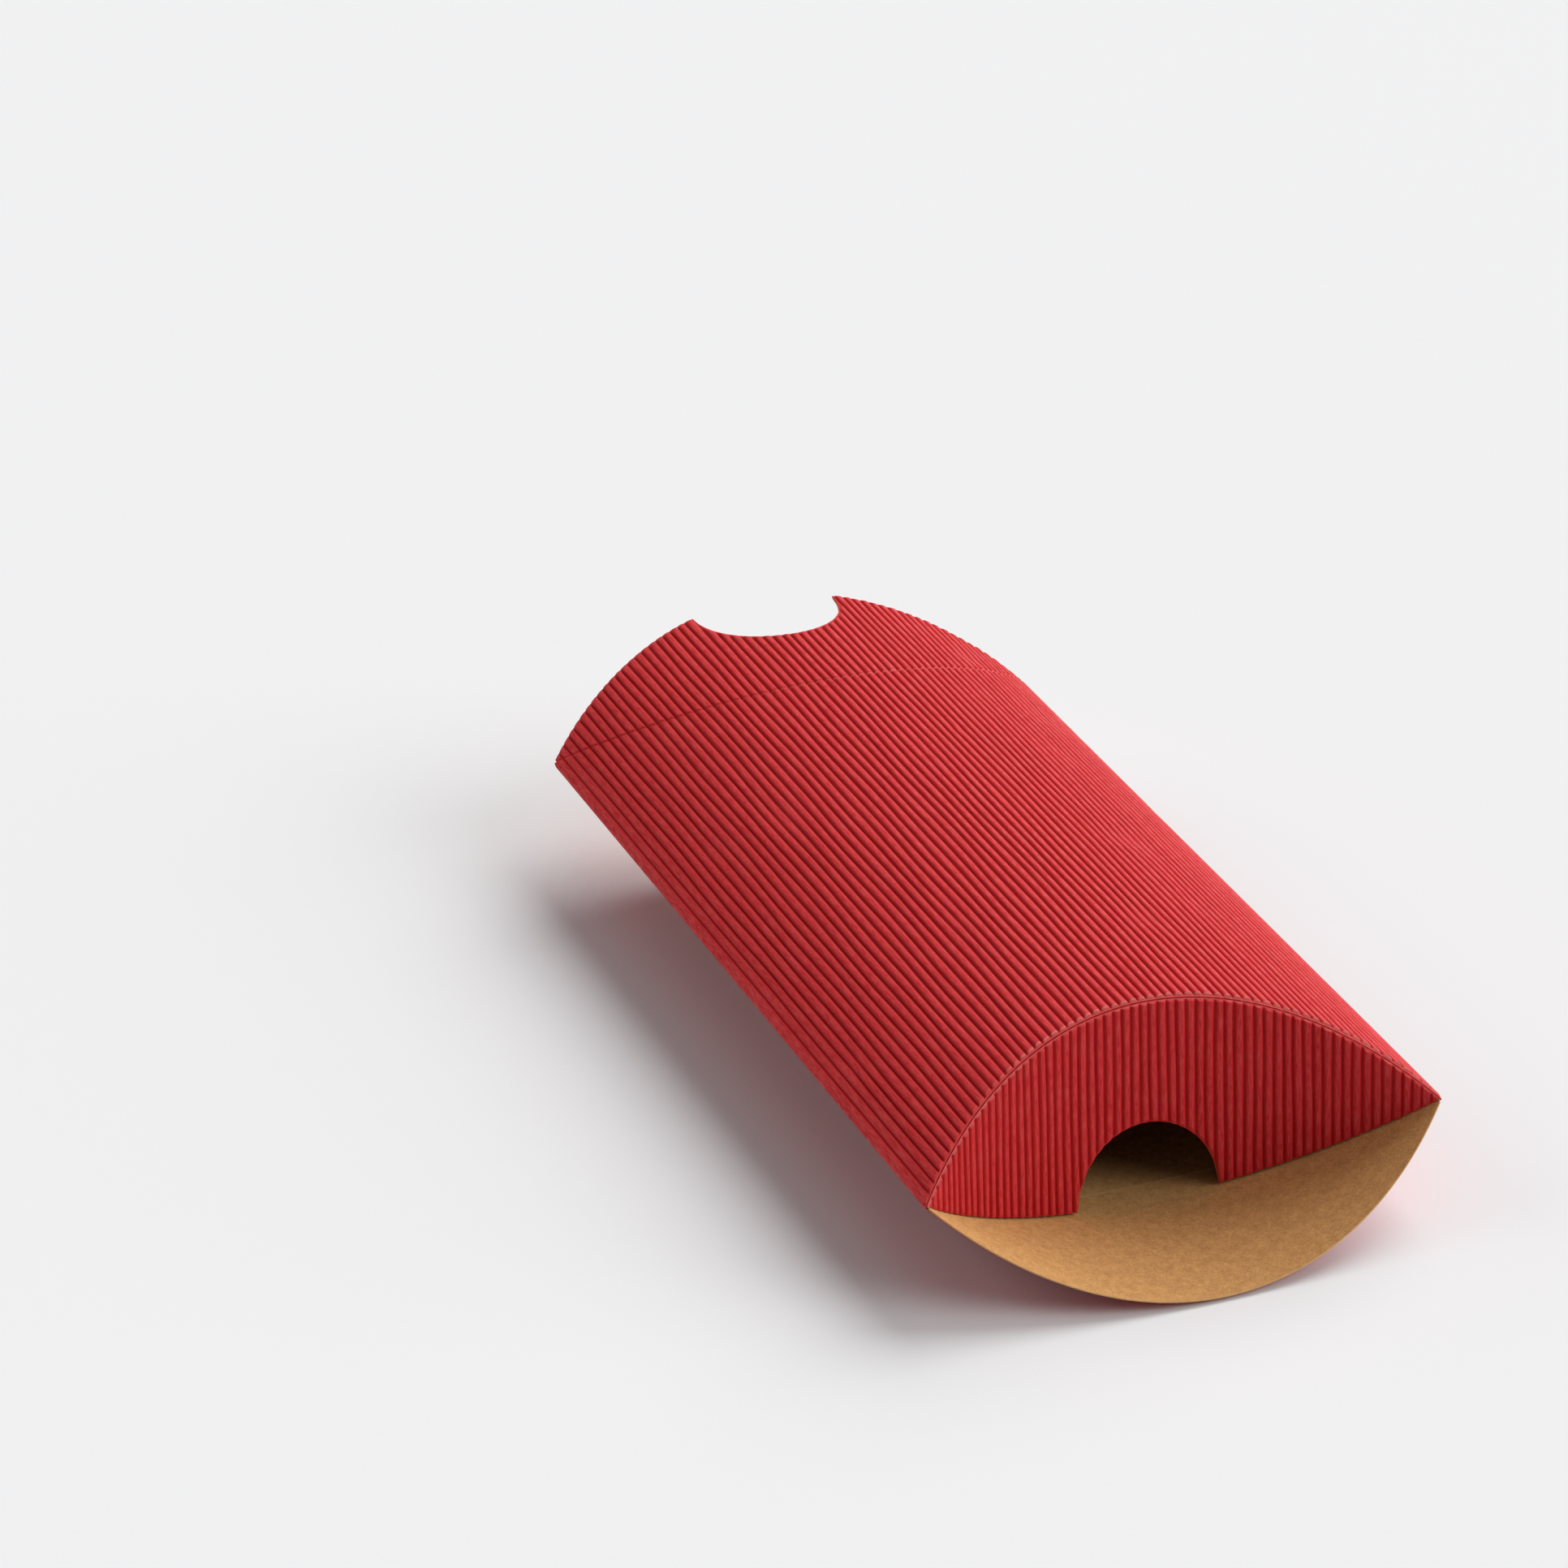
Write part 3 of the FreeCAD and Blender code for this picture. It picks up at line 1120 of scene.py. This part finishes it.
@dataclass
class Flap(Leaf):
    """One end flap, which hangs on a curved crease and snaps through when it turns about it.

    It is shaped unfolded, in X, the distance out of the box from its corners, and the height over the side
    folds.  A folded flap is that shape leaning a little, turned inside out and mirrored in its crease plane.
    """

    end: End
    joint: dict
    notch_radius: float
    cut_back: float
    cut: Press

    COLUMNS_PER_FLUTE = 12
    LINER_COLUMNS = 342
    EVEN_ROWS = {Ply.FLUTES: 36, Ply.LINER: 10}
    NEAR_SHARE = 0.07
    FAR_SHARE = 0.05
    EDGE_TRIM = 0.30 * MM
    EDGE_HIGHLIGHT_WIDTH = 0.12 * MM
    # A folded flap gets weaker painted valley shade.
    FOLDED_SHADE = 0.55
    UNROLL_STEPS = 6

    @cached_property
    def depth(self) -> float:
        """How far the crease bows in from the corners."""
        return self.tube.crease_depth(self.joint)

    @cached_property
    def turn(self) -> float:
        """Turn between open and folded, positive where the flap rests folded."""
        return math.radians(max(self.joint["range_deg"], key=abs))

    @property
    def rests_folded(self) -> bool:
        """Whether the flap is folded in at rest."""
        return self.turn > 0

    @property
    def stack(self) -> int:
        """1 where the plies lie outwards over each other, and -1 where they are turned inside out."""
        return -1 if self.rests_folded else 1

    @property
    def valley_shade(self) -> float:
        """How strong the painted shade in the valleys is, as a share."""
        return self.FOLDED_SHADE if self.rests_folded else 1.0

    @cached_property
    def folded_lean(self) -> float:
        """Lean of the unfolded shape that mirrors into the folded one."""
        return 2 * math.atan(self.tube.rise / self.depth) - abs(self.turn)

    @cached_property
    def notch_centre(self) -> float:
        """Find how far out of the box the thumb notch's centre is, on the line between its two tips.

        Returns:
            The distance.
        """
        edge = (self.depth + self.tube.flap_reach) * self.tilt(self.rests_folded)[0] - self.depth
        height = math.sqrt(self.arch.radius ** 2 - self.notch_radius ** 2) - self.arch.drop
        return edge * height / self.tube.rise

    def sheet(self, ply: Ply) -> tuple[Piece, Spots]:
        """Lay out the flat blank of a ply between the crease and the free edge.

        Args:
            ply: Which ply it is.

        Returns:
            The sheet, and where its points lie.
        """
        piece, along, share = self.blank(ply, self.arch.fold_start)
        edge = self.edge(along, self.cut_back if ply is Ply.FLUTES else 0.0)
        return piece, Spots(along, self.SEAM_GAP + (edge - self.SEAM_GAP) * share)

    def edge(self, along: Array, cut_back: float) -> Array:
        """Find the free edge of a ply, with the half-round thumb notch in it.

        Args:
            along: Lengths along the arch from its crown.
            cut_back: How far the slanted cut leaves the ply short of the kraft's edge.

        Returns:
            The edge's reach from the crease.
        """
        x, height = self.arch.place(along, 0)
        share = height / self.tube.rise
        trim = self.EDGE_TRIM if self.rests_folded else 0
        free = share * (self.depth + self.tube.flap_reach) - trim - cut_back
        if not self.notch_radius:
            return free
        cosine, sine, squeeze, _ = self.tilt(self.rests_folded)
        round_off = (self.notch_radius + cut_back) ** 2 - x ** 2
        ahead = self.notch_centre - np.sqrt(np.maximum(round_off, 0)) - sine * squeeze * height
        notch = ahead / cosine + share * (self.depth * cosine + self.tube.rise * sine)
        return np.where(round_off > 0, np.minimum(free, notch), free)

    def creases(self, spots: Spots) -> list[tuple[Press, Array]]:
        """The crease that the flap hangs on, with the points' distances from it."""
        return [(FOLDED_FLAP_CREASE if self.rests_folded else OPEN_CREASE, spots.reach)]

    def cuts(self, spots: Spots) -> list[tuple[Press, Array]]:
        """Find the free edge and the notch.

        Args:
            spots: Points of the flap.

        Returns:
            How each is pressed, and the points' distances from it.
        """
        gaps = [self.edge(spots.along, self.cut_back) - spots.reach]
        if self.notch_radius:
            x, ahead, _ = self.shape(replace(spots, out=0.0)).T
            gaps.append(np.hypot(x, ahead - self.notch_centre) - self.notch_radius - self.cut_back)
        return [(self.cut, gap) for gap in gaps]

    def bared(self, spots: Spots) -> Array:
        """How much paler the kraft is along the score, and the painted highlight along the free edge."""
        # Painted highlight along the cut edge.
        edge = bump(self.edge(spots.along, 0.0) - spots.reach, self.EDGE_HIGHLIGHT_WIDTH)
        return np.maximum(edge, super().bared(spots))

    def run(self, spots: Spots) -> Array:
        """Lengths along the unfolded blank, from the middle of the box."""
        height = self.arch.place(spots.along, 0)[1]
        return self.end.value * (self.tube.half_side + spots.reach - self.depth * height / self.tube.rise)

    def tilt(self, folded: bool) -> tuple[float, float, float, int]:
        """Find how the unfolded shape leans.

        Args:
            folded: Whether it is the one that mirrors into the folded flap.

        Returns:
            Cosine and sine of the lean, how much it lowers the arch, and which way the plies are stacked.
        """
        lean = self.folded_lean if folded else 0.0
        cosine, sine = math.cos(lean), math.sin(lean)
        return cosine, sine, cosine - self.depth / self.tube.rise * sine, -1 if folded else 1

    def shape(self, spots: Spots) -> Array:
        """Points of the unfolded shape that the flap has at rest."""
        return self.surface(spots, self.rests_folded)

    def surface(self, spots: Spots, folded: bool) -> Array:
        """Find points of the unfolded shape.

        Args:
            spots: Where they lie on the blank.
            folded: Whether the shape is the one that mirrors into the folded flap.

        Returns:
            Each point's X, distance out of the box and height over the side folds.
        """
        cosine, sine, squeeze, stack = self.tilt(folded)
        x, z = self.arch.place(spots.along, 0)
        normal_x, normal_z = self.normal(spots.along, squeeze)
        level = squeeze * z + stack * spots.out * normal_z
        ahead = spots.reach - z / self.tube.rise * (self.depth * cosine + self.tube.rise * sine)
        return np.stack([x + stack * spots.out * normal_x, ahead * cosine + level * sine,
                         level * cosine - ahead * sine], axis=1)

    def normal(self, along: Array, squeeze: float) -> tuple[Array, Array]:
        """Find the normal of the lowered arch.

        Args:
            along: Lengths along the arch from its crown.
            squeeze: How much the lean lowers the arch.

        Returns:
            Its parts across the box and up.
        """
        angle = along / self.arch.radius
        length = np.hypot(squeeze * np.sin(angle), np.cos(angle))
        return squeeze * np.sin(angle) / length, np.cos(angle) / length

    def unroll(self, points: Array) -> Spots:
        """Find where points lie on the blank, the reverse of shape.

        Args:
            points: Points of the unfolded shape.

        Returns:
            Where they lie.
        """
        cosine, sine, squeeze, stack = self.tilt(self.rests_folded)
        radius = self.arch.radius
        x, ahead, z = points.T
        ahead, level = ahead * cosine - z * sine, ahead * sine + z * cosine
        along = radius * np.arcsin(np.clip(x / radius, -1, 1))
        for _ in range(self.UNROLL_STEPS):
            base_x, base_z = self.arch.place(along, 0)
            across, up = np.cos(along / radius), -squeeze * np.sin(along / radius)
            miss = (x - base_x) * across + (level - squeeze * base_z) * up
            along = along + miss / (across ** 2 + up ** 2)
        base_x, base_z = self.arch.place(along, 0)
        normal_x, normal_z = self.normal(along, squeeze)
        reach = ahead + base_z / self.tube.rise * (self.depth * cosine + self.tube.rise * sine)
        out = stack * ((x - base_x) * normal_x + (level - squeeze * base_z) * normal_z)
        return Spots(along, reach, out)

    def folded(self, points: Array) -> Array:
        """Mirror points in the plane of the crease.

        Args:
            points: Points of the unfolded shape.

        Returns:
            Points of the folded flap.
        """
        plane = np.array([-self.depth, self.tube.rise]) / math.hypot(self.depth, self.tube.rise)
        mirrored = 2 * (points[:, 1:] @ plane)[:, None] * plane - points[:, 1:]
        return np.column_stack([points[:, 0], mirrored])

    def placed(self, points: Array) -> Array:
        """Fold points of the unfolded shape, if the flap rests folded, and put them where the box lies."""
        x, ahead, z = (self.folded(points) if self.rests_folded else points).T
        return super().placed(np.stack([x, self.end.value * (self.tube.half_side + ahead), z], axis=1))

    def angle(self, spots: Spots, folded: bool) -> Array:
        """Find the angle of points about the crown of the crease.

        Args:
            spots: Where they lie on the blank.
            folded: Whether the flap is folded.

        Returns:
            The angles.
        """
        points = self.surface(spots, folded)
        if folded:
            points = self.folded(points)
        return np.arctan2(points[:, 2] - self.tube.rise, points[:, 1] + self.depth)

    def landing(self, spots: Spots) -> Spots:
        """Find where points lie at the other limit, as a turn keeps their X and their distance from its axis.

        Args:
            spots: Where they lie on the blank at rest.

        Returns:
            Where they lie on it at the other limit.
        """
        folded, limit = not self.rests_folded, self.arch.fold_start
        rest = self.shape(spots)
        landed = spots
        for _ in range(self.UNROLL_STEPS):
            miss = rest[:, 0] - self.surface(landed, folded)[:, 0]
            along = landed.along + miss / np.cos(landed.along / self.arch.radius)
            landed = replace(landed, along=np.clip(along, -limit, limit))
        root = self.surface(replace(landed, reach=np.zeros_like(spots.reach)), folded)
        cosine, sine, _, _ = self.tilt(folded)
        ahead, above = root[:, 1] + self.depth, root[:, 2] - self.tube.rise
        toward = ahead * cosine - above * sine
        square = (rest[:, 1] + self.depth) ** 2 + (rest[:, 2] - self.tube.rise) ** 2
        reached = np.sqrt(np.maximum(toward ** 2 - ahead ** 2 - above ** 2 + square, 0)) - toward
        return replace(landed, reach=np.maximum(reached, 0))

    def follow(self, spots: Spots) -> Array:
        """Find the share of the flap's turn that each point makes: none on the crease, and all at the crown.

        Args:
            spots: Where the points lie on the blank.

        Returns:
            The shares.
        """
        rest = self.angle(spots, self.rests_folded)
        other = self.angle(self.landing(spots), not self.rests_folded)
        return ((other - rest + np.pi) % (2 * np.pi) - np.pi) / self.turn

    def fix(self, piece: Piece, spots: Spots) -> None:
        """Bake the ply's place into its points and find each point's share of the turn, which is not used
        further.

        Args:
            piece: The ply's piece.
            spots: Where its points lie on the blank.
        """
        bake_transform(piece)
        shares = self.follow(spots).astype(np.float32)


@dataclass(frozen=True)
class Seam:
    """Room of one solid of the glued seam, inside the lower panel, and how deep its outer face lies."""

    node: str
    arch: Arch
    depth: float

    END_SLANT = 8 * MM
    ROWS = 60

    @cached_property
    def edges(self) -> tuple[float, float]:
        """Measure the lengths along the arch to the solid's two sides.

        Returns:
            The lengths to its inner side and to its side at the fold.
        """
        radius = self.arch.radius
        inner, outer = [radius * math.asin(corner.x / (radius + self.depth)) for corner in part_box(self.node)]
        return inner, min(outer, self.arch.fold_start)

    def lay(self, name: str, columns: int) -> tuple[Piece, Spots]:
        """Lay out a flat strip in the solid's room, with slanted ends.

        Args:
            name: Name of the piece.
            columns: Cells across the strip.

        Returns:
            The strip, and where its points lie.
        """
        low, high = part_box(self.node)
        inner, outer = self.edges
        piece, column, row = flat_blank(name, columns, self.ROWS)
        share = column / columns
        half = (high.y - low.y) / 2 - self.END_SLANT * (1 - share)
        return piece, Spots(inner + (outer - inner) * share, half * (2 * row / self.ROWS - 1))


@dataclass
class GlueTab(Leaf):
    """The tab of board inside the lower panel."""

    LINER_COLUMNS = 24

    @cached_property
    def base(self) -> float:
        """Height of the tab's reference face out from the lower panel's."""
        board = self.board
        return -board.liner - board.film - board.glue - board.film - board.flute_height

    def sheet(self, ply: Ply) -> tuple[Piece, Spots]:
        """Lay out the flat blank of a ply along the seam.

        Args:
            ply: Which ply it is.

        Returns:
            The sheet, and where its points lie.
        """
        seam = Seam(Ply.LINER.node(self.name), self.arch, self.base)
        inner, outer = seam.edges
        flutes = round((outer - inner) / self.fluting.pitch)
        columns = flutes * self.COLUMNS_PER_FLUTE if ply is Ply.FLUTES else self.LINER_COLUMNS
        return seam.lay(ply.piece(self.name), columns)

    def shape(self, spots: Spots) -> Array:
        """Bend the sheet over the arch, as deep as the tab lies."""
        return super().shape(replace(spots, out=self.base + spots.out))

    def relief(self, spots: Spots) -> Array:
        """Height share of the fluted paper, whole all over."""
        return self.fluting.ridge(spots.along, spots.reach)


@dataclass
class GlueStrip(Sheet):
    """The strip of dried glue between the tab and the lower panel, with wavy sides."""

    PIECE = "seam_glue_film"
    COLUMNS = 24
    WAVES = 23
    WANDER = 0.5 * MM

    def build(self, dress: Dress) -> None:
        """Make the strip, dress it and fix it to the tube.

        Args:
            dress: The finish of each slot.
        """
        seam = Seam(self.name, self.arch, -self.board.liner - self.board.film)
        piece, spots = seam.lay(self.PIECE, self.COLUMNS)
        inner, outer = seam.edges
        wave = self.WANDER * np.sin(self.WAVES * np.pi * spots.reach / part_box(self.name)[1].y)
        along = spots.along + wave * ((spots.along - inner) / (outer - inner) - 0.5)
        move_points(piece, self.shape(Spots(along, spots.reach, seam.depth - self.board.glue)))
        thicken(piece, self.board.glue, 1)
        points = points_of(piece)
        spots = self.unroll(points)
        self.keep_place(piece, spots)
        move_points(piece, self.placed(points))
        complete(piece, dress, Slot.GLUE, self.name)
        self.fix(piece, spots)


@dataclass(frozen=True)
class Lamp:
    """A broad lamp far off, so that it lights the floor evenly."""

    name: str
    toward: tuple
    spread: float
    strength: float

    def hang(self) -> None:
        """Hang the lamp and turn it to the box."""
        toward = Vector(self.toward).normalized()
        bpy.ops.object.light_add(type="SUN", location=toward)
        lamp = bpy.context.object
        lamp.name = self.name
        lamp.rotation_euler = toward.to_track_quat("Z", "Y").to_euler()
        lamp.data.angle = self.spread
        lamp.data.energy = self.strength


@dataclass
class Studio:
    """Pale floor and surround, with broad lamps at the right and the rear left and a weak one overhead."""

    floor_size: float = 9.0
    pale: tuple = linear(241, 241, 242)
    surround_strength: float = 0.08
    lamps: tuple = (Lamp("rear_right_lamp", (0.6, 0.45, 0.66), math.radians(45), 2.55),
                    Lamp("front_right_lamp", (0.6, -0.5, 0.62), math.radians(40), 0.66),
                    Lamp("low_right_lamp", (0.85, -0.35, 0.38), math.radians(40), 0.88),
                    Lamp("rear_left_lamp", (-0.75, 0.45, 0.5), math.radians(40), 0.48),
                    Lamp("top_lamp", (0.0, 0.1, 1.0), math.radians(60), 0.22))

    def build(self) -> None:
        """Make the floor, the lamps and the surround."""
        self.lay_floor()
        for lamp in self.lamps:
            lamp.hang()
        self.light_surround()

    def lay_floor(self) -> None:
        """Add the floor that the box lies on."""
        bpy.ops.object.select_all(action="DESELECT")
        bpy.ops.mesh.primitive_plane_add(size=self.floor_size)
        floor = bpy.context.object
        floor.name = "floor"
        material = bpy.data.materials.new("pale_floor")
        material.use_nodes = True
        graph = Graph(material.node_tree)
        surface = graph.add("BsdfPrincipled", {"Base Color": self.pale, "Roughness": 0.9,
                                               "Specular IOR Level": 0.1})
        graph.add("OutputMaterial", {"Surface": surface.outputs[0]})
        floor.data.materials.append(material)

    def light_surround(self) -> None:
        """Light the box evenly from all round, and show the surround in the floor's own pale colour."""
        world = bpy.data.worlds.new("pale_surround")
        bpy.context.scene.world = world
        world.use_nodes = True
        graph = Graph(world.node_tree)
        path = graph.add("LightPath").outputs
        seen = graph.maths("ADD", path["Is Camera Ray"],
                           graph.maths("ADD", path["Is Glossy Ray"], path["Is Transmission Ray"]))
        strength = graph.scaled(seen, self.surround_strength, 1.0)
        surround = graph.add("Background", {"Color": self.pale, "Strength": strength})
        graph.add("OutputWorld", {"Surface": surround.outputs[0]})


@dataclass
class PhotoCamera:
    """Camera at the photograph's viewing angle and framing."""

    tube: Tube
    azimuth: float = math.radians(-25.24)
    elevation: float = math.radians(28.49)
    roll: float = math.radians(-2.61)
    distance: float = 1.30318
    focal_pixels: float = 7000.0
    middle_pixel: tuple = (1204.9, 1138.2)
    sensor: float = 36.0

    def build(self) -> None:
        """Place the camera so that the middle of the tube falls on its pixel."""
        azimuth, elevation = self.azimuth, self.elevation
        back = Vector((math.sin(azimuth) * math.cos(elevation), -math.cos(azimuth) * math.cos(elevation),
                       math.sin(elevation)))
        level = Vector((math.cos(azimuth), math.sin(azimuth), 0))
        upright = back.cross(level)
        right = level * math.cos(self.roll) - upright * math.sin(self.roll)
        up = back.cross(right)
        aside, below = [(pixel - PHOTO_PIXELS / 2) / self.focal_pixels for pixel in self.middle_pixel]
        middle = Vector((0, self.tube.middle_y, self.tube.middle_z))
        place = middle + self.distance * (back - aside * right + below * up)

        bpy.ops.object.camera_add(location=place)
        camera = bpy.context.object
        camera.name = "photo_camera"
        camera.rotation_euler = Matrix((right, up, back)).transposed().to_euler()
        camera.data.sensor_width = self.sensor
        camera.data.lens = self.focal_pixels / PHOTO_PIXELS * self.sensor
        bpy.context.scene.camera = camera


def main() -> None:
    """Build the box, panel by panel and flap by flap, then its studio."""
    logging.basicConfig(level=logging.INFO, format="%(name)s %(message)s")
    bpy.context.scene.view_settings.view_transform = "Standard"
    tube = Tube.from_frame()
    arch = Arch(tube.half_width, tube.rise)
    board = Board.from_frame()
    upper, lower = Fluting(arch, board, seed=4), Fluting(arch, board, seed=9)
    joints = {joint["child"]: joint for joint in frame["joints"]}
    depths = {name: tube.crease_depth(joint) for name, joint in joints.items()}
    dress = finishes()

    Panel("top_panel", Layer.UPPER, tube, upper, depths["front_upper_flap"], depths["rear_upper_flap"],
          FOLDED_PANEL_CREASE, OPEN_CREASE).build(dress)
    Panel("bottom_panel", Layer.LOWER, tube, lower, depths["front_lower_flap"], depths["rear_lower_flap"],
          OPEN_CREASE, FOLDED_PANEL_CREASE).build(dress)
    for name, layer, fluting, end, notch, cut_back, cut in (
            ("front_upper_flap", Layer.UPPER, upper, End.FRONT, FRONT_NOTCH, 0.0, CUT_EDGE),
            ("front_lower_flap", Layer.LOWER, lower, End.FRONT, 0.0, SLANTED_CUT, CRUSHED_EDGE),
            ("rear_upper_flap", Layer.UPPER, upper, End.REAR, REAR_NOTCH, 0.0, FLATTENED_EDGE),
            ("rear_lower_flap", Layer.LOWER, lower, End.REAR, 0.0, 0.0, CUT_EDGE)):
        Flap(name, layer, tube, fluting, end, joints[name], notch, cut_back, cut).build(dress)
    GlueTab("glue_tab", Layer.LOWER, tube, lower).build(dress)
    GlueStrip("seam_glue_strip", Layer.LOWER, tube, lower).build(dress)

    Studio().build()
    PhotoCamera(tube).build()


if __name__ == "__main__":
    main()
